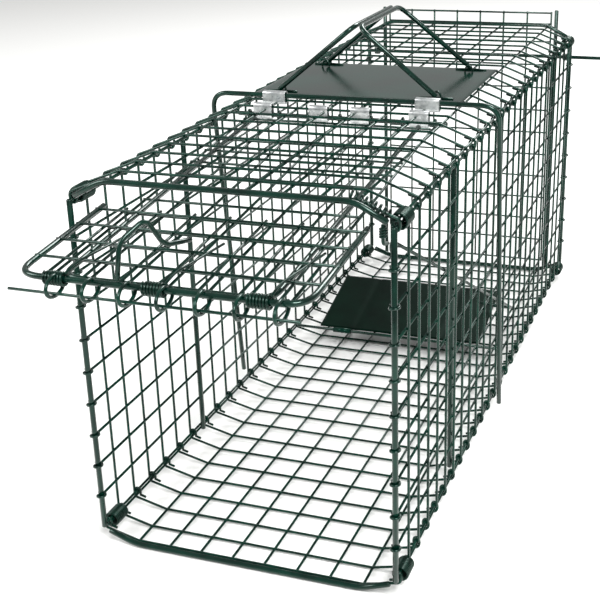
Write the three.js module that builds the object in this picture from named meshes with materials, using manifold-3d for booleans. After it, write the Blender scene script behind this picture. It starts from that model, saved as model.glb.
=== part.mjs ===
// A wire cage live catch trap: a box of welded wire panels with a sloping front door, a sprung lock flap,
// a treadle that trips it, a sliding rear door, a stay bail that holds the box square and a folding handle.
// Millimetres, +Z up. The length runs along +Y from the open front, and the origin is the middle of the
// underside of the front floor bar.
import * as THREE from "three";
import { mergeVertices } from "three/addons/utils/BufferGeometryUtils.js";
import Module from "manifold-3d";

const wasm = await Module();
wasm.setup();

// driving dimensions
const CELL = 25.4; // pitch of the welded mesh
const LENGTH = 26 * CELL;
const HALF_WIDTH = 4.5 * CELL;
const FLAT_HALF = 3.5 * CELL; // the floor and roof are flat this far out, then turn
const SIDE_HEIGHT = 10 * CELL;
const WIRE = 2.4;
const ROD = 2.2; // radius of the thick frame rods
const ROD_SIDES = 8;
const GAP = 0.4; // running gap between pieces
const FLOOR_Z = WIRE / 2;
const FLOOR_RISE = 8.5;
const ROOF_FALL = 12;
const HINGE_GAP = 4.5; // between the two long wires of a hinge line
const SIDE_Z = FLOOR_Z + FLOOR_RISE + HINGE_GAP;
const SIDE_TOP = SIDE_Z + SIDE_HEIGHT;
const ROOF_Z = SIDE_TOP + HINGE_GAP + ROOF_FALL;
const CROSS_CELLS = [0, 3, 6, 9, 10, 13, 16, 19, 22, 24, 26];

// front door and lock flap
const DOOR_Y = 9 * CELL;
const DOOR_Z = ROOF_Z - 6.5;
const DOOR_HALF = 3.1 * CELL;
const DOOR_START = 10; // first bar of the door, in front of its hinge rod
const DOOR_TILT = THREE.MathUtils.degToRad(5); // the set door hangs this far below level
const DOOR_REACH = 318;
const FLAP_OUT = 328; // flap's hinge bar, measured down the door from its hinge rod
const FLAP_LIFT = 4.9; // the flap lies this far above the door
const EDGE_WIRE_OUT = FLAP_OUT + 10;
const FLAP_HALF = 3.7 * CELL;
const FLAP_REACH = 110;
const FRAME = 4.2; // square size of the door's and flap's frame bars
const SPRING_CELLS = [-2.6, 0, 2.6];

// bail, handle, treadle, rear door
const BAIL_Y = 10 * CELL;
const BAIL_Z = ROOF_Z + WIRE / 2 + GAP + ROD;
const BAIL_HALF = 124;
const BAIL_LEG = 278;
const BAIL_LEAN = 0.12;
const PLATE_Y = 264;
const PLATE_DEPTH = 140;
const PLATE_HALF = 90;
const PLATE_THICK = 1.2;
const HANDLE_X = 68.6;
const HANDLE_Z = ROOF_Z + WIRE / 2 + PLATE_THICK + 3.4;
const HANDLE_FRONT = 270;
const HANDLE_SPAN = 120;
const HANDLE_RISE = 53;
const RIDGE_X = 2.8;
const TREADLE_Y = 386;
const TREADLE_Z = 20;
const TREADLE_HALF = 82.5;
const TREADLE_DEPTH = 88;
const TREADLE_TILT = THREE.MathUtils.degToRad(15);
const TRIGGER_X = 104;
const REAR_Y = LENGTH + 6;
const REAR_TOP = 297;
const GUIDE_X = 97;
const LOCK_Z = 249;
const LOCK_Y = LENGTH + 11.4;

const paint = new THREE.MeshStandardMaterial({ color: "#0b3b30", roughness: 0.35, metalness: 0.1 });
const sheet = new THREE.MeshStandardMaterial({ color: "#0d3328", roughness: 0.25, metalness: 0.1 });
const zinc = new THREE.MeshStandardMaterial({ color: "#d9dcda", roughness: 0.35, metalness: 0.9 });
const spring = new THREE.MeshStandardMaterial({ color: "#12352c", roughness: 0.4, metalness: 0.4 });

const trap = new THREE.Group();
const hangingDoor = new THREE.Group();
hangingDoor.position.set(0, DOOR_Y, DOOR_Z);
hangingDoor.rotation.x = DOOR_TILT;
trap.add(hangingDoor);

function add(name, geometry, material, position = [0, 0, 0], rotation = [0, 0, 0], group = trap) {
  const mesh = new THREE.Mesh(geometry, material);
  mesh.name = name;
  mesh.position.set(...position);
  mesh.rotation.set(...rotation);
  group.add(mesh);
}

function rectangle(path, x0, y0, x1, y1) {
  path.moveTo(x0, y0);
  path.lineTo(x1, y0);
  path.lineTo(x1, y1);
  path.lineTo(x0, y1);
  path.closePath();
  return path;
}

function solid(geometry) {
  const bare = geometry.clone();
  bare.deleteAttribute("normal");
  bare.deleteAttribute("uv");
  const merged = mergeVertices(bare, 1e-4);
  return new wasm.Manifold(
    new wasm.Mesh({
      numProp: 3,
      vertProperties: new Float32Array(merged.attributes.position.array),
      triVerts: new Uint32Array(merged.index.array),
    }),
  );
}

// Welded wires as one closed body.
function weld(wires) {
  const mesh = wires.map(solid).reduce((a, b) => a.add(b)).getMesh();
  const made = new THREE.BufferGeometry();
  made.setAttribute("position", new THREE.BufferAttribute(new Float32Array(mesh.vertProperties), 3));
  made.setIndex(new THREE.BufferAttribute(new Uint32Array(mesh.triVerts), 1));
  const loose = made.toNonIndexed();
  loose.computeVertexNormals();
  return loose;
}

// A welded grille in the XY plane: x lines lie under y lines, half sunk into them, with thicker edges if asked.
function grille(xs, ys, edge = WIRE) {
  const ends = (lines) => [lines[0], lines[lines.length - 1]];
  const size = (lines, i) => (i === 0 || i === lines.length - 1 ? edge : WIRE);
  const [x0, x1] = ends(xs);
  const [y0, y1] = ends(ys);
  const sink = edge === WIRE ? WIRE / 4 : 0;
  const long = xs.map((x, i) => {
    const w = size(xs, i);
    return new THREE.BoxGeometry(w, y1 - y0 + edge, w).translate(x, (y0 + y1) / 2, -sink);
  });
  const cross = ys.map((y, i) => {
    const w = size(ys, i);
    return new THREE.BoxGeometry(x1 - x0 + edge, w, w).translate((x0 + x1) / 2, y, sink);
  });
  return weld([...long, ...cross]);
}

// A polyline whose points are used as they stand, for a rod swept along them.
class RodPath extends THREE.Curve {
  constructor(points) {
    super();
    this.points = points;
  }
  getPoint(t) {
    const f = t * (this.points.length - 1);
    const i = Math.min(Math.floor(f), this.points.length - 2);
    return this.points[i].clone().lerp(this.points[i + 1], f - i);
  }
  getPointAt(t) {
    return this.getPoint(t);
  }
  getSpacedPoints() {
    return this.points;
  }
  getTangentAt(t) {
    const last = this.points.length - 1;
    const i = Math.round(t * last);
    const after = this.points[Math.min(i + 1, last)];
    return after.clone().sub(this.points[Math.max(i - 1, 0)]).normalize();
  }
}

// Points of a bent rod: each inner corner becomes an arc-like curve of the given radius.
function bend(corners, radius, steps = 4) {
  const v = corners.map((c) => new THREE.Vector3(...c));
  const points = [v[0]];
  for (let i = 1; i < v.length - 1; i++) {
    const from = v[i].clone().add(v[i - 1].clone().sub(v[i]).setLength(radius));
    const to = v[i].clone().add(v[i + 1].clone().sub(v[i]).setLength(radius));
    points.push(...new THREE.QuadraticBezierCurve3(from, v[i], to).getPoints(steps));
  }
  points.push(v[v.length - 1]);
  return points;
}

function rod(corners, radius = ROD, bendRadius = 14, sides = ROD_SIDES) {
  const points = bend(corners, bendRadius);
  const section = new THREE.Shape();
  for (let k = 0; k < sides; k++) {
    const a = ((k + 0.5) * 2 * Math.PI) / sides;
    if (k === 0) section.moveTo(radius * Math.cos(a), radius * Math.sin(a));
    else section.lineTo(radius * Math.cos(a), radius * Math.sin(a));
  }
  section.closePath();
  return new THREE.ExtrudeGeometry(section, {
    steps: points.length - 1,
    extrudePath: new RodPath(points),
  });
}

// A close-wound coil as a plain sleeve, its axis along Y.
function sleeve(inner, outer, length, sides = 12) {
  const profile = [
    new THREE.Vector2(inner, -length / 2),
    new THREE.Vector2(outer, -length / 2),
    new THREE.Vector2(outer, length / 2),
    new THREE.Vector2(inner, length / 2),
    new THREE.Vector2(inner, -length / 2),
  ];
  return new THREE.LatheGeometry(profile, sides);
}

// The cross wires stop short of the thick bars at both ends of the cage.
const INSET = 2 * ROD;
const CROSS_LINES = CROSS_CELLS.map((c) => THREE.MathUtils.clamp(c * CELL, INSET, LENGTH - INSET));

// Floor and roof: flat in the middle, their edges turned towards the side panels. The long wires lie
// on the side that over says, half sunk into the cross wires.
function turnedPanel(turn, over) {
  const square = (points) => rod(points, WIRE * Math.SQRT1_2, 0.5, 4);
  const shift = (over * WIRE) / 2;
  const lines = [-4.5, -3.5, -1.5, 1.5, 3.5, 4.5].map((c) => c * CELL);
  const height = (x) => (Math.abs(x) > FLAT_HALF + 1 ? turn : 0) + shift;
  const start = CROSS_LINES[0] - WIRE / 2;
  const end = CROSS_LINES[CROSS_LINES.length - 1] + WIRE / 2;
  const long = lines.map((x) => square([[x, start, height(x)], [x, end, height(x)]]));
  const cross = CROSS_LINES.map((y) =>
    square([
      [-HALF_WIDTH, y, turn],
      [-FLAT_HALF, y, 0],
      [FLAT_HALF, y, 0],
      [HALF_WIDTH, y, turn],
    ]),
  );
  return weld([...long, ...cross]);
}

function panels() {
  const up = [0, 3, 5, 8, 10].map((c) => c * CELL);
  add("floor_panel", turnedPanel(FLOOR_RISE, -1), paint, [0, 0, FLOOR_Z + WIRE / 2]);
  add("roof_panel", turnedPanel(-ROOF_FALL, -1), paint, [0, 0, ROOF_Z]);
  for (const [side, x] of [["left", -HALF_WIDTH], ["right", HALF_WIDTH]])
    add(side + "_side_panel", grille(up, CROSS_LINES).rotateY(-Math.PI / 2), paint, [x, 0, SIDE_Z]);
}

function posts() {
  const low = SIDE_Z - 2;
  const high = SIDE_TOP + 2;
  const inside = HALF_WIDTH - 0.75 * WIRE - GAP - ROD;
  for (const [side, s] of [["left", -1], ["right", 1]]) {
    const post = (x, y) => rod([[s * x, y, low], [s * x, y, high]]);
    add("front_post_" + side, post(HALF_WIDTH, 0), paint);
    add("mid_post_" + side, post(inside, 6.5 * CELL), paint);
    add("back_post_" + side, post(HALF_WIDTH, LENGTH), paint);
  }
}

// Bars across the ends of the floor and roof. The floor's pair lie on flats at the height z = 0.
function endBars() {
  const edge = HALF_WIDTH - 5;
  const flat = ROD * Math.cos(Math.PI / ROD_SIDES);
  const bar = (y, z, turn) =>
    rod([[-edge, y, z + turn], [-FLAT_HALF, y, z], [FLAT_HALF, y, z], [edge, y, z + turn]], ROD, 8);
  add("floor_front_bar", bar(0, flat, FLOOR_RISE), paint);
  add("roof_front_bar", bar(0, ROOF_Z, -ROOF_FALL), paint);
  add("floor_back_bar", bar(LENGTH, flat, FLOOR_RISE), paint);
  add("roof_back_bar", bar(LENGTH, ROOF_Z, -ROOF_FALL), paint);
}

// Coils round the two long wires of each hinge line, at the front and the back.
function cornerCoils() {
  const middle = HINGE_GAP / 2;
  for (const [side, s] of [["left", -1], ["right", 1]])
    for (const [level, z] of [["lower", SIDE_Z - middle], ["upper", SIDE_TOP + middle]])
      for (const [end, y] of [["front", 18], ["back", LENGTH - 18]])
        add(
          [end, level, side, "coil"].join("_"),
          sleeve(4.6, 6.2, 18),
          spring,
          [s * HALF_WIDTH, y, z],
        );
}

// A folded strip clip: a closed loop of strip, its length along X.
function clip(length, inY, inZ) {
  const strip = 1;
  const section = rectangle(new THREE.Shape(), -inZ / 2 - strip, -inY / 2 - strip, inZ / 2 + strip, inY / 2 + strip);
  section.holes.push(rectangle(new THREE.Path(), -inZ / 2, -inY / 2, inZ / 2, inY / 2));
  const made = new THREE.ExtrudeGeometry(section, { depth: length, bevelEnabled: false });
  return made.translate(0, 0, -length / 2).rotateY(Math.PI / 2);
}

function frontDoor() {
  const inDoor = [[0, 0, 0], [0, 0, 0], hangingDoor];
  const cells = [-3.1, -1, 1, 3.1].map((c) => c * CELL);
  const bays = 5;
  const pitch = (DOOR_REACH - DOOR_START) / bays;
  const bars = Array.from({ length: bays + 1 }, (_, i) => -DOOR_REACH + i * pitch);
  add("front_door", grille(cells, bars, FRAME), paint, ...inDoor);
  const end = DOOR_HALF + 10;
  add("door_hinge_rod", rod([[-end, DOOR_Y, DOOR_Z], [end, DOOR_Y, DOOR_Z]], 2), paint);
  [-2.6, -0.7, 0.7, 2.6].forEach((c, i) =>
    add("door_clip_" + (i + 1), clip(16, 4.8, 11), zinc, [c * CELL, DOOR_Y, (ROOF_Z + DOOR_Z) / 2]),
  );
  const outer = [[-FLAP_HALF, -EDGE_WIRE_OUT, 0], [FLAP_HALF, -EDGE_WIRE_OUT, 0]];
  add("door_edge_wire", rod(outer, WIRE / 2, 1, 6), paint, ...inDoor);
}

function lockFlap() {
  const lines = [-1, -1 / 3, 1 / 3, 1].map((part) => part * FLAP_HALF);
  const flap = grille(lines, [0, FLAP_REACH / 2, FLAP_REACH], FRAME);
  const place = (x) => [x, -FLAP_OUT, FLAP_LIFT];
  add("lock_flap", flap, paint, place(0), [0, 0, 0], hangingDoor);
  SPRING_CELLS.forEach((c, i) => {
    const turn = [0, 0, Math.PI / 2];
    add("flap_spring_" + (i + 1), sleeve(3.6, 5.2, 14), spring, place(c * CELL), turn, hangingDoor);
  });
}

function stayBail() {
  const drop = [BAIL_LEG * Math.sin(BAIL_LEAN), BAIL_LEG * Math.cos(BAIL_LEAN)];
  const foot = (s) => [s * BAIL_HALF, BAIL_Y + drop[0], BAIL_Z - drop[1]];
  const top = (s) => [s * BAIL_HALF, BAIL_Y, BAIL_Z];
  add("stay_bail", rod([foot(-1), top(-1), top(1), foot(1)], ROD, 14), paint);
  const middle = (BAIL_Z + ROOF_Z) / 2 + 0.4;
  for (const [side, s] of [["left", -1], ["right", 1]])
    add("bail_clip_" + side, clip(20, 5.6, 9), zinc, [s * 2.6 * CELL, BAIL_Y, middle]);
}

function handle() {
  const z = ROOF_Z + WIRE / 2 + GAP + PLATE_THICK / 2;
  const plate = new THREE.BoxGeometry(2 * PLATE_HALF, PLATE_DEPTH, PLATE_THICK);
  add("handle_plate", plate, sheet, [0, PLATE_Y + PLATE_DEPTH / 2, z]);
  const back = HANDLE_FRONT + HANDLE_SPAN;
  for (const [side, s] of [["left", -1], ["right", 1]]) {
    const foot = (y) => [s * HANDLE_X, y, HANDLE_Z];
    const top = (y) => [s * RIDGE_X, y, HANDLE_Z + HANDLE_RISE];
    const loop = [foot(HANDLE_FRONT), top(HANDLE_FRONT), top(back), foot(back)];
    add(side + "_handle", rod(loop, ROD, 10), paint);
  }
}

function treadle() {
  const start = 4;
  const plate = new THREE.BoxGeometry(2 * TREADLE_HALF, TREADLE_DEPTH, PLATE_THICK);
  plate.translate(0, start + TREADLE_DEPTH / 2, 0);
  add("treadle_plate", plate, sheet, [0, TREADLE_Y, TREADLE_Z], [TREADLE_TILT, 0, 0]);
  const end = HALF_WIDTH - 8;
  add("treadle_rod", rod([[-end, TREADLE_Y, TREADLE_Z], [end, TREADLE_Y, TREADLE_Z]], 1.5, 1, 6), paint);
  const over = [TREADLE_HALF - 14, TREADLE_Y + 60, TREADLE_Z + 22];
  const route = [
    [TRIGGER_X, 30, 250],
    [TRIGGER_X, TREADLE_Y + 54, TREADLE_Z + 24],
    over,
  ];
  add("trigger_rod", rod(route, 1.3, 5, 6), paint);
  const hook = [[TRIGGER_X, 10, 268], [TRIGGER_X, 10, 256], [TRIGGER_X, 20, 252]];
  add("trigger_hook", rod(hook, 1.3, 3, 6), paint);
}

function rearDoor() {
  const low = 12;
  const bays = 4;
  const rise = (REAR_TOP - low) / bays;
  const cells = [-3.6, -1.2, 1.2, 3.6].map((c) => c * CELL);
  const up = Array.from({ length: bays + 1 }, (_, i) => low + i * rise);
  const door = grille(cells, up).rotateX(Math.PI / 2);
  add("rear_door", door, paint, [0, REAR_Y, 0]);
  for (const [side, s] of [["left", -1], ["right", 1]]) {
    const guide = [[s * GUIDE_X, REAR_Y, 4], [s * GUIDE_X, REAR_Y, REAR_TOP + 3]];
    add("rear_guide_" + side, rod(guide), paint);
    add(
      "lock_eye_" + side,
      sleeve(2.7, 4.2, 7, 10),
      paint,
      [s * (GUIDE_X + 11), LOCK_Y, LOCK_Z],
      [0, 0, Math.PI / 2],
    );
  }
  const bar = [[-(GUIDE_X + 20), LOCK_Y, LOCK_Z], [176, LOCK_Y, LOCK_Z], [176, LOCK_Y, LOCK_Z - 26]];
  add("rear_lock_rod", rod(bar, 2, 8), paint);
}

panels();
posts();
endBars();
cornerCoils();
frontDoor();
lockFlap();
stayBail();
handle();
treadle();
rearDoor();

export default trap;
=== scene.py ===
"""A wire cage live catch trap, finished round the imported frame."""

import bpy
import numpy as np
from mathutils import Matrix, Vector


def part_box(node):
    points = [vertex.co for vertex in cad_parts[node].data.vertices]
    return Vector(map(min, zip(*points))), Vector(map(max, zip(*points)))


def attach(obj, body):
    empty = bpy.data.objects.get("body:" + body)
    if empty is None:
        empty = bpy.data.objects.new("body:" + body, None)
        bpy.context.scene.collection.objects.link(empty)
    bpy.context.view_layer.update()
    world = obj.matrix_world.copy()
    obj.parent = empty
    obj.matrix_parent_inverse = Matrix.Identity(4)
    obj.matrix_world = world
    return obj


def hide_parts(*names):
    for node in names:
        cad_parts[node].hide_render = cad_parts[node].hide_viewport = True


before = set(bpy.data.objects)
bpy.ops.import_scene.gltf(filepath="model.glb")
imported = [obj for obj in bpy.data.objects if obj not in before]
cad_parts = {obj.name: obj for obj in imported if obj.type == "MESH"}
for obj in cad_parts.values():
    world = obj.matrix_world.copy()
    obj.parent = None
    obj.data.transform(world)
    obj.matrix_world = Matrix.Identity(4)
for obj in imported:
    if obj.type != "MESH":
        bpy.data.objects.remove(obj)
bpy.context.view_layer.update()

# Camera. It stands ahead of the open front, to the right and above, and looks down
# the length of the cage with a long lens.
MM = 0.001
CELL = 25.4 * MM
YAW, PITCH, ROLL = -0.3786, 0.3826, -0.0363
FOCAL_PIXELS = 1204
FRAME_PIXELS = 600
SENSOR_MM = 36

ahead = Vector((np.sin(YAW) * np.cos(PITCH), np.cos(YAW) * np.cos(PITCH), -np.sin(PITCH)))
level = Vector((np.cos(YAW), -np.sin(YAW), 0))
rise = level.cross(ahead)
right = level * np.cos(ROLL) + rise * np.sin(ROLL)
up = rise * np.cos(ROLL) - level * np.sin(ROLL)
camera = bpy.data.objects.new("camera", bpy.data.cameras.new("camera"))
camera.data.sensor_width = SENSOR_MM
camera.data.lens = FOCAL_PIXELS / FRAME_PIXELS * SENSOR_MM
stand = Vector((12.489, -26.367, 19.896)) * CELL
turned_view = Matrix((right, up, -ahead)).transposed().to_4x4()
camera.matrix_world = Matrix.Translation(stand) @ turned_view
bpy.context.scene.collection.objects.link(camera)
bpy.context.scene.camera = camera

# Green enamel. Every wire is mild steel dipped or sprayed after welding, so the coat is
# glossy, nearly black in the shade, thicker in some places and slightly rippled.


def linear(colour):
    """An sRGB hex colour as linear RGBA."""
    value = np.array([int(colour[i : i + 2], 16) for i in (1, 3, 5)]) / 255
    value = np.where(value <= 0.04045, value / 12.92, ((value + 0.055) / 1.055) ** 2.4)
    return (*value, 1.0)


def node(material, kind, settings=(), links=()):
    """Adds one shader node: settings are (name, value), links are (input, source node, its output)."""
    made = material.node_tree.nodes.new(kind)
    for name, value in settings:
        if name in made.inputs:
            made.inputs[name].default_value = value
        else:
            setattr(made, name, value)
    for name, source, output in links:
        material.node_tree.links.new(source.outputs[output], made.inputs[name])
    return made


def finish_of(
    name,
    dark,
    light,
    roughness,
    spread,
    metallic=0.0,
    coat=0.0,
    grain=0.012,
    depth=0.15,
    gloss=0.4,
    tint="#A8DCCB",
):
    """Colour and roughness drift between two values with a noise of the grain's size in metres."""
    material = bpy.data.materials.new(name)
    material.use_nodes = True
    material.node_tree.nodes.clear()
    place = node(material, "ShaderNodeTexCoord")
    drift = node(
        material,
        "ShaderNodeTexNoise",
        [("Scale", 1 / grain), ("Detail", 4.0), ("Roughness", 0.6)],
        [("Vector", place, "Object")],
    )
    colours = node(material, "ShaderNodeValToRGB", [], [("Fac", drift, "Fac")])
    colours.color_ramp.elements[0].position = 0.35
    colours.color_ramp.elements[0].color = linear(dark)
    colours.color_ramp.elements[1].position = 0.7
    colours.color_ramp.elements[1].color = linear(light)
    dull = node(
        material,
        "ShaderNodeMapRange",
        [("To Min", roughness - spread), ("To Max", roughness + spread)],
        [("Value", drift, "Fac")],
    )
    # Ripple of the dried coat, about 1.5 mm across, drawn as coarse as it needs to show.
    ripple_size = 1.5 * MM
    ripple = node(
        material,
        "ShaderNodeTexNoise",
        [("Scale", 1 / ripple_size), ("Detail", 2.0)],
        [("Vector", place, "Object")],
    )
    bump = node(
        material,
        "ShaderNodeBump",
        [("Strength", depth), ("Distance", 0.2 * MM)],
        [("Height", ripple, "Fac")],
    )
    shader = node(
        material,
        "ShaderNodeBsdfPrincipled",
        [
            ("Metallic", metallic),
            ("Coat Weight", coat),
            ("Coat Roughness", 0.12),
            ("Specular IOR Level", gloss),
            ("Specular Tint", linear(tint)),
        ],
        [("Base Color", colours, "Color"), ("Roughness", dull, "Result"), ("Normal", bump, "Normal")],
    )
    node(material, "ShaderNodeOutputMaterial", [], [("Surface", shader, "BSDF")])
    return material


wire_enamel = finish_of("green_wire_enamel", "#01130E", "#043226", 0.24, 0.08, coat=0.25)
rod_enamel = finish_of("green_rod_enamel", "#01110C", "#03291F", 0.18, 0.06, coat=0.35, grain=0.02)

# Rods and wires. Each is drawn round wire, cut and bent in a jig, so every shape is a circle
# carried along a bent line with its end cut square and the burr knocked off.


def bent(corners, radius, steps=6):
    """The corner points joined by straight lines, each inner corner rounded by a quadratic arc."""
    v = np.array(corners, float)
    t = np.linspace(0, 1, steps + 1)[:, None]
    points = [v[:1]]
    for before, at, after in zip(v[:-2], v[1:-1], v[2:]):
        start = at + (before - at) / np.linalg.norm(before - at) * radius
        stop = at + (after - at) / np.linalg.norm(after - at) * radius
        points.append((1 - t) ** 2 * start + 2 * t * (1 - t) * at + t**2 * stop)
    points.append(v[-1:])
    return np.vstack(points)


def skin(path, first, second, radii, sides):
    """Vertices and faces of a tube: at each point of the path a circle is spanned by the two axes,
    scaled by the radius there. Neighbouring circles are joined by quads, and both ends are capped."""
    angle = np.arange(sides) * 2 * np.pi / sides
    ring = first[:, None] * np.cos(angle)[:, None] + second[:, None] * np.sin(angle)[:, None]
    vertices = (path[:, None] + ring * radii[:, None, None]).reshape(-1, 3)
    i = np.arange(len(path) - 1)[:, None] * sides
    j = np.arange(sides)[None]
    k = (j + 1) % sides
    walls = np.stack([i + j, i + k, i + sides + k, i + sides + j], -1).reshape(-1, 4)
    last = (len(path) - 1) * sides
    caps = [list(range(sides))[::-1], list(range(last, last + sides))]
    return vertices, walls.tolist() + caps


def round_section(points, radius, sides):
    """A circle carried along the points, its ends closed by a small chamfer. The circle's first
    axis is the path's own plane normal, or any normal on a straight path."""
    p = np.array(points, float)
    tangent = np.gradient(p, axis=0)
    tangent /= np.linalg.norm(tangent, axis=1)[:, None]
    turns = np.cross(tangent[:-1], tangent[1:])
    widest = turns[np.argmax(np.linalg.norm(turns, axis=1))]
    if np.linalg.norm(widest) < 1e-4:
        widest = np.eye(3)[np.argmin(np.abs(tangent[0]))]
    first = widest - tangent * (tangent @ widest)[:, None]
    short = np.linalg.norm(first, axis=1) < 1e-6
    first[short] = widest
    first /= np.linalg.norm(first, axis=1)[:, None]
    second = np.cross(tangent, first)
    # The chamfer takes 0.3 of the radius off the length and leaves 0.7 of it at the tip.
    p = np.vstack([p[0], p, p[-1]])
    p[1] = p[0] + tangent[0] * radius * 0.3
    p[-2] = p[-1] - tangent[-1] * radius * 0.3
    first, second = (np.concatenate([a[:1], a, a[-1:]]) for a in (first, second))
    radii = np.full(len(p), radius)
    radii[[0, -1]] = radius * 0.7
    return skin(p, first, second, radii, sides)


def straight(start, stop):
    """A straight line's two ends and its middle."""
    a, b = np.array(start, float), np.array(stop, float)
    return np.array([a, (a + b) / 2, b])


def piece(name, body, material, shapes, stands_for=()):
    """One named object from (vertices, faces) shapes, riding on a body and standing for CAD nodes."""
    vertices, faces, start = [], [], 0
    for v, f in shapes:
        vertices.append(v)
        faces += [[i + start for i in face] for face in f]
        start += len(v)
    mesh = bpy.data.meshes.new(name)
    mesh.from_pydata(np.vstack(vertices).tolist(), [], faces)
    mesh.shade_smooth()
    mesh.materials.append(material)
    made = bpy.data.objects.new(name, mesh)
    bpy.context.scene.collection.objects.link(made)
    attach(made, body)
    if stands_for:
        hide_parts(*stands_for)
    return made


def rods(lines, radius, sides):
    """Round shapes for several lines of one wire size."""
    return [round_section(line, radius, sides) for line in lines]


def coil(start, stop, inner, wire, turns, sides=8):
    """A close helix from start to stop, wound round the straight line between them: the sum of a
    step along the line and a circle across it. The wire's first axis is the helix axis, made
    square to the wire."""
    a, b = np.array(start, float), np.array(stop, float)
    axis = (b - a) / np.linalg.norm(b - a)
    n = np.cross(axis, np.eye(3)[np.argmin(np.abs(axis))])
    n /= np.linalg.norm(n)
    m = np.cross(axis, n)
    points_per_turn = 14
    t = np.linspace(0, 1, int(turns * points_per_turn) + 1)[:, None]
    phase = 2 * np.pi * turns * t
    line = a + (b - a) * t + (inner + wire) * (n * np.cos(phase) + m * np.sin(phase))
    tangent = np.gradient(line, axis=0)
    tangent /= np.linalg.norm(tangent, axis=1)[:, None]
    first = axis - tangent * (tangent @ axis)[:, None]
    first /= np.linalg.norm(first, axis=1)[:, None]
    return skin(line, first, np.cross(tangent, first), np.full(len(line), wire), sides)


# Floor and roof panels. Welded mesh on a one inch pitch: long wires under, cross wires over,
# the edges turned on a brake, and each cross wire's end curled round the hinge line's two wires.
WIRE = 1.0 * MM
low_floor, high_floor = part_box("floor_panel")
high_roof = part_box("roof_panel")[1]
low_side, high_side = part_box("right_side_panel")
CAD_WIRE = 1.2 * MM  # half the thickness of the frame's own square wires
HALF_WIDTH = 4.5 * CELL
FLAT = 3.5 * CELL
FLOOR_Z = 2.4 * MM
FLOOR_EDGE = FLOOR_Z + 8.5 * MM
ROOF_Z = high_roof.z - CAD_WIRE
ROOF_EDGE = ROOF_Z - 12 * MM
SIDE_LOW = low_side.z + CAD_WIRE
SIDE_HIGH = high_side.z - CAD_WIRE
FRONT, BACK = low_floor.y + CAD_WIRE, high_floor.y - CAD_WIRE
STEPS = np.clip(np.arange(27) * CELL, FRONT, BACK)


def curled(y, edge_z, flat_z, side_z):
    """A cross wire across the cage whose ends curl once round both wires of the hinge lines."""
    curl = 2.4 * WIRE
    middle, reach = (edge_z + side_z) / 2, abs(side_z - edge_z) / 2 + 2.2 * WIRE
    sign = np.sign(side_z - edge_z)
    t = np.linspace(-0.5 * np.pi, 1.25 * np.pi, 14)
    out = HALF_WIDTH + curl * np.cos(t)
    height = middle + sign * reach * np.sin(t)
    slide = np.linspace(0, curl, len(t))
    loop = np.stack([out, y + slide, height], -1)
    tail = loop[-1] + np.array([-5 * MM, 0, -sign * 1.5 * MM])
    right = np.vstack([[[FLAT, y, flat_z]], loop, tail])
    left = right * [-1, 1, 1]
    return np.vstack([left[::-1], right])


def turned(name, flat_z, edge_z, side_z, under):
    """A whole panel: straight long wires, shifted in height by under, and curled cross wires. The
    last cross wire has plain ends."""
    long = [(x * CELL, flat_z + under) for x in np.arange(-3.5, 4)]
    long += [(s * HALF_WIDTH, edge_z) for s in (-1, 1)]
    lines = [straight((x, FRONT, z), (x, BACK, z)) for x, z in long]
    lines += [curled(y, edge_z, flat_z, side_z) for y in STEPS[:-1]]
    last = STEPS[-1]
    half = np.array([[FLAT, last, flat_z], [HALF_WIDTH, last, edge_z]])
    lines.append(np.vstack([half[::-1] * [-1, 1, 1], half]))
    piece(name + "_mesh", "cage", wire_enamel, rods(lines, WIRE, 8), [name])


turned("floor_panel", FLOOR_Z, FLOOR_EDGE, SIDE_LOW, -1.8 * WIRE + 0.6 * MM)
turned("roof_panel", ROOF_Z, ROOF_EDGE, SIDE_HIGH, -1.8 * WIRE)

# Side panels. The same mesh, flat, with upright wires outside the long ones; each upright
# is hooked round the hinge line wire at both ends.
for side, s in (("left", -1), ("right", 1)):
    x = s * HALF_WIDTH
    levels = SIDE_LOW + np.arange(11) * CELL
    lines = [straight((x, FRONT, z), (x, BACK, z)) for z in levels]
    hook = np.linspace(0, 1.3 * np.pi, 8)
    hook_radius = 1.9 * WIRE
    for y in STEPS[1:-1]:
        outer = x + s * 1.8 * WIRE
        curl_x = x + s * hook_radius * np.cos(hook)
        curl_z = hook_radius * np.sin(hook)
        ends_y = y + np.linspace(0, 2, len(hook)) * WIRE
        low = np.stack([curl_x, ends_y, SIDE_LOW - curl_z], -1)[::-1]
        high = np.stack([curl_x, ends_y, SIDE_HIGH + curl_z], -1)
        lines.append(np.vstack([low, [[outer, y, (SIDE_LOW + SIDE_HIGH) / 2]], high]))
    name = side + "_side_panel"
    piece(name + "_mesh", "cage", wire_enamel, rods(lines, WIRE, 8), [name])

# Posts and end bars. Thicker rod, about 4 mm, welded in where the cage carries load. The long
# side wires are wrapped round the front and back posts.
ROD = 2.1 * MM
WRAP_HALF = 1.2 * MM
for side, s in (("left", -1), ("right", 1)):
    for place in ("front", "mid", "back"):
        name = f"{place}_post_{side}"
        low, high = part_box(name)
        middle = (low + high) / 2
        x, y = middle.x, middle.y
        shapes = rods([straight((x, y, low.z), (x, y, high.z))], ROD, 16)
        if place != "mid":
            for z in SIDE_LOW + np.arange(1, 10) * CELL:
                shapes.append(coil((x, y, z - WRAP_HALF), (x, y, z + WRAP_HALF), ROD, WIRE, 1.2, 6))
        piece(name + "_rod", "cage", rod_enamel, shapes, [name])

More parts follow.
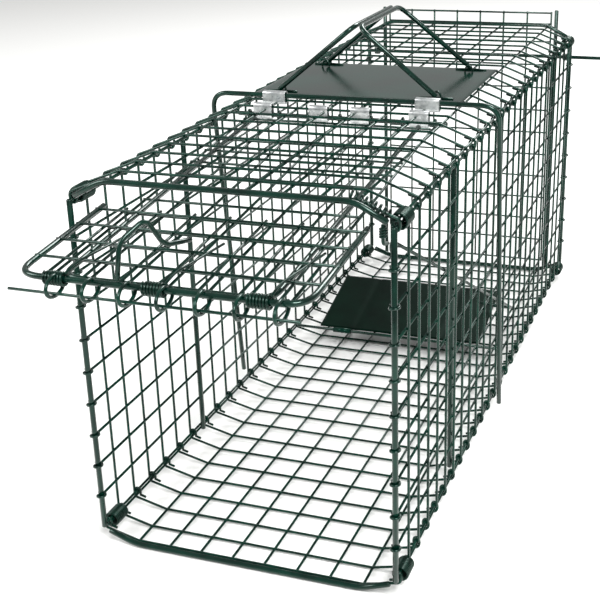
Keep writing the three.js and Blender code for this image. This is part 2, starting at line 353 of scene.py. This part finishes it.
for name, z_flat, z_edge in (
    ("floor_front_bar", 2.1 * MM, 10 * MM),
    ("floor_back_bar", 2.1 * MM, 10 * MM),
    ("roof_front_bar", ROOF_Z, ROOF_EDGE),
    ("roof_back_bar", ROOF_Z, ROOF_EDGE),
):
    low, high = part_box(name)
    y = (low.y + high.y) / 2
    bar = bent([[low.x, y, z_edge], [-FLAT, y, z_flat], [FLAT, y, z_flat], [high.x, y, z_edge]], 8 * MM)
    piece(name + "_rod", "cage", rod_enamel, rods([bar], ROD, 16), [name])

# Corner coils. Spring wire wound close round both wires of a hinge line, so the panels stay
# together and still fold. Their painted wire is a little duller than the rods.
coil_enamel = finish_of("painted_spring_wire", "#01100B", "#03251C", 0.28, 0.08, metallic=0.2, coat=0.25)
for end in ("front", "back"):
    for level_name in ("lower", "upper"):
        for side in ("left", "right"):
            name = f"{end}_{level_name}_{side}_coil"
            low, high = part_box(name)
            middle = (low + high) / 2
            a, b = (middle.x, low.y + 1 * MM, middle.z), (middle.x, high.y - 1 * MM, middle.z)
            shapes = [coil(a, b, 4.4 * MM, 0.85 * MM, 9)]
            piece(name + "_winding", "cage", coil_enamel, shapes, [name])

# Front door. A bent frame of rod with round corners, filled with mesh, its long wires looped
# over the hinge rod under the roof. The set door hangs a few degrees below level.
rod_low, rod_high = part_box("door_hinge_rod")
DOOR_Y, DOOR_Z = (rod_low.y + rod_high.y) / 2, (rod_low.z + rod_high.z) / 2
DOOR_TILT = np.radians(5)
DOOR_OUT = 318 * MM
DOOR_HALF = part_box("front_door")[1].x - ROD
FRAME_HALF = 69 * MM


def hung(shapes):
    """Shapes drawn level, with y down the door from its hinge, turned by the tilt about the hinge rod."""
    c, d = np.cos(DOOR_TILT), np.sin(DOOR_TILT)
    turn = np.array([[1, 0, 0], [0, c, -d], [0, d, c]])
    return [(v @ turn.T + [0, DOOR_Y, DOOR_Z], f) for v, f in shapes]


def across(half, y, z):
    """A straight line across the door at one place down it."""
    return straight((-half, y, z), (half, y, z))


def u_frame(half, start, out, z, radius):
    """A U in the door's plane: two legs from start down to out, joined by a bar with round corners."""
    corners = [[-half, start, z], [-half, out, z], [half, out, z], [half, start, z]]
    return bent(corners, radius, 8)


THIN_ROD = 1.9 * MM
DOOR_START = -12 * MM
BELOW = -1.6 * MM
shapes = rods([u_frame(FRAME_HALF, DOOR_START, -DOOR_OUT, 1 * MM, 14 * MM)], THIN_ROD, 14)
lines = [across(DOOR_HALF, y, 0) for y in -DOOR_OUT + np.arange(13) * CELL]
turn = np.linspace(-0.5 * np.pi, 1.2 * np.pi, 14)
eye_radius = 3.2 * MM
for x in np.linspace(-DOOR_HALF, DOOR_HALF, 7):
    eye = np.stack([np.full_like(turn, x), eye_radius * np.cos(turn), eye_radius * np.sin(turn)], -1)
    lines.append(np.vstack([[x, -DOOR_OUT - 2 * MM, BELOW], [x, DOOR_START, BELOW], eye]))
shapes += rods(lines, WIRE, 8)
piece("front_door_panel", "front_door", rod_enamel, hung(shapes), ["front_door"])
hinge = rods([straight((rod_low.x, DOOR_Y, DOOR_Z), (rod_high.x, DOOR_Y, DOOR_Z))], THIN_ROD, 14)
piece("door_hinge_rod_round", "cage", rod_enamel, hinge, ["door_hinge_rod"])

# Lock flap. A thick U hinged at the door's outer edge; when the door drops, springs stand it
# upright behind the front posts, and it stops the door being pushed open.
FLAP_OUT, FLAP_LIFT, FLAP_REACH = 328 * MM, 4.9 * MM, 110 * MM
flap_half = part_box("lock_flap")[1].x - ROD
flap_end = FLAP_REACH - FLAP_OUT
shapes = rods([u_frame(flap_half, flap_end, -FLAP_OUT, FLAP_LIFT, 17 * MM)], ROD, 14)
rows = CELL * np.arange(1, 5) - FLAP_OUT
lines = [across(flap_half + 2 * MM, y, FLAP_LIFT + 1 * MM) for y in rows]
under = FLAP_LIFT - 0.6 * MM
lines += [straight((x, -FLAP_OUT, under), (x, flap_end, under)) for x in np.arange(-3, 4) * CELL]
shapes += rods(lines, WIRE, 8)
piece("lock_flap_frame", "lock_flap", rod_enamel, hung(shapes), ["lock_flap"])

# Edge wire and its loops. A row of bent wire loops at the end of the door joins a thin straight
# wire to the flap's bar, and carries the flap.
EDGE_OUT = FLAP_OUT + 10 * MM
shapes = rods([across(flap_half, -EDGE_OUT, 0)], WIRE, 8)
oval = np.linspace(0.25 * np.pi, 2.2 * np.pi, 22)
loops = []
for x in np.arange(-3, 4) * CELL * 0.95 + 7 * MM:
    ring_y = -(FLAP_OUT + EDGE_OUT) / 2 + 9.5 * MM * np.cos(oval)
    ring_z = 2.4 * MM + 6 * MM * np.sin(oval)
    loops.append(np.stack([x + np.linspace(0, 2.4, len(oval)) * MM, ring_y, ring_z], -1))
shapes += rods(loops, 1.2 * MM, 8)
piece("door_edge_loops", "front_door", wire_enamel, hung(shapes), ["door_edge_wire"])

# Torsion springs. Hard-drawn spring wire wound on the flap's hinge bar, with one long arm
# bearing on the flap.
for i in (1, 2, 3):
    name = f"flap_spring_{i}"
    low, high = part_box(name)
    x0, x1, wire = low.x, high.x, 0.85 * MM
    shapes = [coil((x0, -FLAP_OUT, FLAP_LIFT), (x1, -FLAP_OUT, FLAP_LIFT), 3.0 * MM, wire, 7)]
    top = FLAP_LIFT + 3.9 * MM
    arm = [
        [x1, -FLAP_OUT, top],
        [x1, -FLAP_OUT + 14 * MM, top + 1 * MM],
        [x1 + 10 * MM, -FLAP_OUT + 62 * MM, top - 0.5 * MM],
    ]
    shapes += rods([bent(arm, 5 * MM)], wire, 8)
    piece(name + "_winding", "lock_flap", coil_enamel, hung(shapes), [name])

# Pull hook and return spring. A bent rod on the flap lets a gloved finger lift it, and an open
# coil along the roof bar's right-hand slope takes up the slack of the folded cage.
pull = [
    [-24 * MM, -FLAP_OUT, FLAP_LIFT + 3 * MM],
    [-24 * MM, -FLAP_OUT + 8 * MM, FLAP_LIFT + 24 * MM],
    [-14 * MM, -FLAP_OUT + 24 * MM, FLAP_LIFT + 33 * MM],
    [-9 * MM, -FLAP_OUT + 34 * MM, FLAP_LIFT + 12 * MM],
    [0, -FLAP_OUT + 52 * MM, FLAP_LIFT + 9 * MM],
]
shapes = hung(rods([bent(pull, 6 * MM)], 1.6 * MM, 12))
piece("flap_pull_hook", "lock_flap", rod_enamel, shapes)
slope_start = (FLAT - 4 * MM, 6 * MM, ROOF_Z + 2 * MM)
slope_end = (FLAT + 20 * MM, 6 * MM, ROOF_Z - 9 * MM)
winding = [coil(slope_start, slope_end, 2.6 * MM, 0.9 * MM, 8)]
piece("corner_return_spring", "cage", coil_enamel, winding)

# Stay bail. One length of thick rod, bent to a U and clipped on the roof; its legs hang
# outside the sides and keep the folding cage square.
low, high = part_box("stay_bail")
bail_half = high.x - ROD
top_y, top_z = low.y + ROD, high.z - ROD
leg_y, leg_z = high.y - ROD, low.z + 0.3 * MM
bail_leg = np.array([[bail_half, top_y, top_z], [bail_half, leg_y, leg_z]])
bail_line = bent(np.vstack([bail_leg[::-1] * [-1, 1, 1], bail_leg]), 15 * MM, 10)
shapes = rods([bail_line], ROD, 16)
piece("stay_bail_rod", "stay_bail", rod_enamel, shapes, ["stay_bail"])

# Strip clips. Zinc-plated steel strip, folded round two wires in a press. The plating is a
# pale, slightly mottled metal, far lighter than the enamel.
zinc_plate = finish_of(
    "zinc_plated_strip",
    "#B9BEBF",
    "#E6E8E7",
    0.3,
    0.08,
    metallic=0.9,
    grain=0.004,
    depth=0.3,
    tint="#FFFFFF",
)
STRIP = 0.8 * MM
CLIP_POINTS = 40


def blunt(value):
    """The value's sign times its size to the power 0.6, which squares off a circle."""
    return np.sign(value) * np.abs(value) ** 0.6


def folded_clip(name):
    """A closed loop of strip: a squared-off oval, drawn in a little where its height is least, and
    the same oval one strip thickness smaller, both carried along X."""
    low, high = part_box(name)
    middle, size = (low + high) / 2, (high - low) / 2
    t = np.arange(CLIP_POINTS) * 2 * np.pi / CLIP_POINTS
    pinch = 1 - 0.16 * (1 - np.abs(np.sin(t))) ** 2
    outline = np.stack([size.y * blunt(np.cos(t)) * pinch, size.z * blunt(np.sin(t))], -1)
    inside = outline * [(size.y - STRIP) / size.y, (size.z - STRIP) / size.z]
    rings = []
    for oval, end in ((outline, -1), (outline, 1), (inside, 1), (inside, -1)):
        x = np.full(CLIP_POINTS, middle.x + end * size.x)
        rings.append(np.column_stack([x, middle.y + oval[:, 0], middle.z + oval[:, 1]]))
    j = np.arange(CLIP_POINTS)
    k = (j + 1) % CLIP_POINTS
    faces = []
    for ring in range(4):
        a, b = ring * CLIP_POINTS, (ring + 1) % 4 * CLIP_POINTS
        faces += np.stack([a + j, b + j, b + k, a + k], -1).tolist()
    made = piece(name + "_strip", "cage", zinc_plate, [(np.vstack(rings), faces)], [name])
    bevel = made.modifiers.new("edge", "BEVEL")
    bevel.width = 0.25 * MM
    bevel.segments = 2
    bevel.angle_limit = 0.9


for clip_name in [f"door_clip_{i}" for i in (1, 2, 3, 4)] + ["bail_clip_left", "bail_clip_right"]:
    folded_clip(clip_name)

# Guard plate. Steel sheet under the handle, its edges eased down. Sprayed sheet is flatter than
# wire, so its enamel shows long soft reflections. A small wire arch and bar hold each handle foot.
plate_enamel = finish_of(
    "green_sheet_enamel",
    "#02150F",
    "#072B22",
    0.16,
    0.05,
    grain=0.06,
    depth=0.05,
    gloss=0.28,
    tint="#8CCFB8",
)
low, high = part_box("handle_plate")
COLUMNS, ROWS = 61, 45


def sheet_of(name, body, low, high, height, thickness, stands_for, material):
    """A grid over the box's floor whose height is a function of its place, closed by a second
    skin one thickness below and a rim between the two."""
    columns, rows = np.linspace(low.x, high.x, COLUMNS), np.linspace(low.y, high.y, ROWS)
    x, y = np.meshgrid(columns, rows, indexing="ij")
    top = np.stack([x, y, height(x, y)], -1).reshape(-1, 3)
    bottom = top - [0, 0, thickness]
    number = np.arange(COLUMNS * ROWS).reshape(COLUMNS, ROWS)
    a = number[:-1, :-1].ravel()
    upper = np.stack([a, a + ROWS, a + ROWS + 1, a + 1], -1)
    rim = np.concatenate([number[:-1, 0], number[-1, :-1], number[:0:-1, -1], number[0, :0:-1]])
    after = np.roll(rim, -1)
    below = COLUMNS * ROWS
    walls = np.stack([rim, rim + below, after + below, after], -1)
    faces = upper.tolist() + (upper[:, ::-1] + below).tolist() + walls.tolist()
    piece(name, body, material, [(np.vstack([top, bottom]), faces)], stands_for)


crown = high.z


def guard_height(x, y):
    """Level, then falling with the square of the nearness to the edge over the last 4 mm."""
    side, end = high.x - np.abs(x), np.minimum(y - low.y, high.y - y)
    edge = np.minimum(1, np.minimum(side, end) / (4 * MM))
    return crown - 0.6 * MM * (1 - edge) ** 2


sheet_of(
    "handle_guard_plate", "cage", low, high, guard_height, 0.9 * MM, ["handle_plate"], plate_enamel
)
arch = np.linspace(0, np.pi, 10)
feet = []
for handle_name in ("left_handle", "right_handle"):
    handle_low, handle_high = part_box(handle_name)
    foot_x = handle_low.x + ROD if handle_name == "left_handle" else handle_high.x - ROD
    for y, inward in ((handle_low.y + ROD, 1), (handle_high.y - ROD, -1)):
        z = crown + 0.2 * MM + 5.5 * MM * np.sin(arch)
        arch_y = np.full_like(arch, y + inward * 5 * MM)
        feet.append(np.stack([foot_x + 3.4 * MM * np.cos(arch), arch_y, z], -1))
        bar = [(-14 * MM, 0.5 * MM), (0, 0.9 * MM), (14 * MM, 0.5 * MM)]
        feet.append(bent([[foot_x + dx, y + 4 * MM, crown + dz] for dx, dz in bar], 5 * MM))
piece("handle_feet_wires", "cage", coil_enamel, rods(feet, 0.9 * MM, 8))

# Handle. Two thick bails pivot at the guard plate and lean together over the middle, so a
# gloved hand closes round both.
FOOT_INSET = 1.3 * MM
for handle_name, s in (("left_handle", -1), ("right_handle", 1)):
    low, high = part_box(handle_name)
    foot_x = s * (max(abs(low.x), abs(high.x)) - FOOT_INSET)
    ridge_x = s * (min(abs(low.x), abs(high.x)) + ROD)
    base, ridge = low.z + FOOT_INSET, high.z - ROD
    y0, y1 = low.y + ROD, high.y - ROD
    front_leg = [[foot_x, y0, base], [ridge_x, y0 + 2 * MM, ridge]]
    back_leg = [[ridge_x, y1 - 2 * MM, ridge], [foot_x, y1, base]]
    shapes = rods([bent(front_leg + back_leg, 11 * MM, 8)], ROD, 16)
    piece(handle_name + "_bail", handle_name, rod_enamel, shapes, [handle_name])

# Treadle. Steel sheet, tipped up at the back, with two shallow pressed grooves and two tabs
# folded round its hinge rod. Its duller enamel is given nearly black colours as painted shade for its place
# inside the cage; the tabs, folded from the same sheet, keep the guard plate's enamel.
treadle_enamel_painted_shade = finish_of(
    "sheet_enamel_painted_shade",
    # Painted shade: these near-black colours darken the sheet for its place inside the cage.
    "#000A05",
    "#011A10",
    0.4,
    0.08,
    grain=0.05,
    depth=0.06,
    gloss=0.12,
    tint="#8CCFB8",
)
low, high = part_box("treadle_plate")
pin_low, pin_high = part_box("treadle_rod")
treadle_start = low.z + 1.2 * MM
slope = (high.z - treadle_start) / (high.y - low.y)


def treadle_height(x, y):
    """A plane rising to the rear, less a bell-shaped groove 45 mm either side of the middle."""
    groove = 0.5 * MM * np.exp(-(((np.abs(x) - 45 * MM) / (3 * MM)) ** 2))
    return treadle_start + slope * (y - low.y) - groove


sheet_of(
    "treadle_sheet", "treadle", low, high, treadle_height, 1 * MM, ["treadle_plate"], treadle_enamel_painted_shade
)
rod_y, rod_z = (pin_low.y + pin_high.y) / 2, (pin_low.z + pin_high.z) / 2
t = np.linspace(-0.55 * np.pi, 1.1 * np.pi, 18)
TAB_HALF, TAB_OUTER, TAB_INNER = 9 * MM, 2.6 * MM, 1.9 * MM
corners = ((-TAB_HALF, TAB_OUTER), (TAB_HALF, TAB_OUTER), (TAB_HALF, TAB_INNER), (-TAB_HALF, TAB_INNER))
tab_shapes = []
for x in (-58 * MM, 58 * MM):
    # Four arcs about the rod, one for each corner of the tab's section, then the two end faces.
    arcs = [
        np.column_stack([np.full_like(t, x + w), rod_y - r * np.sin(t), rod_z + r * np.cos(t)])
        for w, r in corners
    ]
    j = np.arange(len(t) - 1)
    faces = []
    for corner in range(4):
        a, b = corner * len(t), (corner + 1) % 4 * len(t)
        faces += np.stack([a + j, a + j + 1, b + j + 1, b + j], -1).tolist()
    starts = np.arange(4) * len(t)
    faces += [starts.tolist(), (starts[::-1] + len(t) - 1).tolist()]
    tab_shapes.append((np.vstack(arcs), faces))
piece("treadle_hinge_tabs", "treadle", plate_enamel, tab_shapes)
pin = rods([straight((pin_low.x, rod_y, rod_z), (pin_high.x, rod_y, rod_z))], 1.4 * MM, 12)
piece("treadle_hinge_rod", "cage", rod_enamel, pin, ["treadle_rod"])

# Trigger. A thin rod runs down the right-hand side from a hooked wire at the front corner to
# the treadle; stepping on the treadle draws it back and lets the flap go.
TRIGGER_ROD, INSET = 1.25 * MM, 1.3 * MM
low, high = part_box("trigger_rod")
x = high.x - INSET
route = [
    [x, low.y + 1 * MM, high.z - 1 * MM],
    [x, high.y - 8 * MM, low.z + INSET],
    [low.x, high.y - 1.5 * MM, low.z + INSET],
]
eye_y, eye_z, eye_half = low.y + 2 * MM, high.z - 5 * MM, 0.4 * MM
eye = coil((x - eye_half, eye_y, eye_z), (x + eye_half, eye_y, eye_z), 2.4 * MM, 1 * MM, 2.2)
shapes = rods([bent(route, 7 * MM)], TRIGGER_ROD, 10) + [eye]
piece("trigger_rod_wire", "trigger_rod", rod_enamel, shapes, ["trigger_rod"])
low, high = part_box("trigger_hook")
x, y = (low.x + high.x) / 2, low.y + INSET
route = [[x, y, high.z], [x, y, low.z + 4 * MM], [x, high.y, low.z + INSET]]
wrap_y = low.y + 2 * MM
wrap = coil((x, wrap_y, high.z - 9 * MM), (x, wrap_y, high.z - 2 * MM), 1.3 * MM, 0.8 * MM, 4)
shapes = rods([bent(route, 3 * MM)], TRIGGER_ROD, 10) + [wrap]
piece("trigger_hook_wire", "cage", coil_enamel, shapes, ["trigger_hook"])

# Rear door and its lock. A mesh panel that lifts between two thick guide rods, held shut by a
# rod pushed across through an eye beside each guide.
low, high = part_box("rear_door")
y = (low.y + high.y) / 2
width = high.x - CAD_WIRE
columns = np.linspace(-width, width, 8)
bottom, top = low.z + CAD_WIRE, high.z - CAD_WIRE
second_bar = high.z - 13 * MM
tiers = np.append(np.arange(bottom, high.z - 14 * MM, CELL), [second_bar, top])
ahead_y, behind_y = y - 0.8 * MM, y + 0.6 * MM
lines = [straight((x, behind_y, low.z), (x, behind_y, high.z)) for x in columns]
lines += [straight((-width, ahead_y, z), (width, ahead_y, z)) for z in tiers]
shapes = rods(lines, WIRE, 8)
piece("rear_door_panel", "rear_door", wire_enamel, shapes, ["rear_door"])
EYE_WIRE = 0.8 * MM
for side in ("left", "right"):
    guide = "rear_guide_" + side
    low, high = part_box(guide)
    middle = (low + high) / 2
    shapes = rods([straight((middle.x, middle.y, low.z), (middle.x, middle.y, high.z))], ROD, 16)
    piece("rear_guide_rod_" + side, "cage", rod_enamel, shapes, [guide])
    low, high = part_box("lock_eye_" + side)
    middle = (low + high) / 2
    start = (low.x + EYE_WIRE, middle.y, middle.z)
    stop = (high.x - EYE_WIRE, middle.y, middle.z)
    shapes = [coil(start, stop, 2.5 * MM, EYE_WIRE, 3)]
    piece("lock_eye_winding_" + side, "cage", coil_enamel, shapes, ["lock_eye_" + side])
low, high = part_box("rear_lock_rod")
y = (low.y + high.y) / 2
bar_z, handle_x = high.z - THIN_ROD, high.x - THIN_ROD
line = bent([[low.x, y, bar_z], [handle_x, y, bar_z], [handle_x, y, low.z]], 9 * MM, 8)
shapes = rods([line], THIN_ROD, 14)
piece("rear_lock_rod_round", "rear_lock_rod", rod_enamel, shapes, ["rear_lock_rod"])

# Studio. A pale floor and three large soft lights.
floor = bpy.data.objects.new("floor", bpy.data.meshes.new("floor"))
REACH, DROP = 6, -0.5 * MM
floor_corners = [(-REACH, -REACH, DROP), (REACH, -REACH, DROP), (REACH, REACH, DROP), (-REACH, REACH, DROP)]
floor.data.from_pydata(floor_corners, [], [(0, 1, 2, 3)])
paper = bpy.data.materials.new("white_paper")
paper.use_nodes = True
paper.node_tree.nodes["Principled BSDF"].inputs["Base Color"].default_value = linear("#F7F7F5")
paper.node_tree.nodes["Principled BSDF"].inputs["Roughness"].default_value = 0.9
floor.data.materials.append(paper)
bpy.context.scene.collection.objects.link(floor)
for name, spot, size, power in (
    ("key", (1.0, -1.2, 1.9), 0.9, 62),
    ("fill", (-1.8, -0.8, 1.5), 1.0, 30),
    ("back", (0.3, 2.2, 1.8), 1.0, 40),
):
    lamp = bpy.data.objects.new(name, bpy.data.lights.new(name, "AREA"))
    lamp.data.size = size
    lamp.data.energy = power
    aim = Vector((0, 0.3, 0.15)) - Vector(spot)
    lamp.matrix_world = Matrix.Translation(spot) @ aim.to_track_quat("-Z", "Y").to_matrix().to_4x4()
    bpy.context.scene.collection.objects.link(lamp)
world = bpy.data.worlds.new("studio")
world.use_nodes = True
world.node_tree.nodes["Background"].inputs["Color"].default_value = linear("#FFFFFF")
world.node_tree.nodes["Background"].inputs["Strength"].default_value = 0.5
bpy.context.scene.world = world
bpy.context.scene.view_settings.view_transform = "Standard"
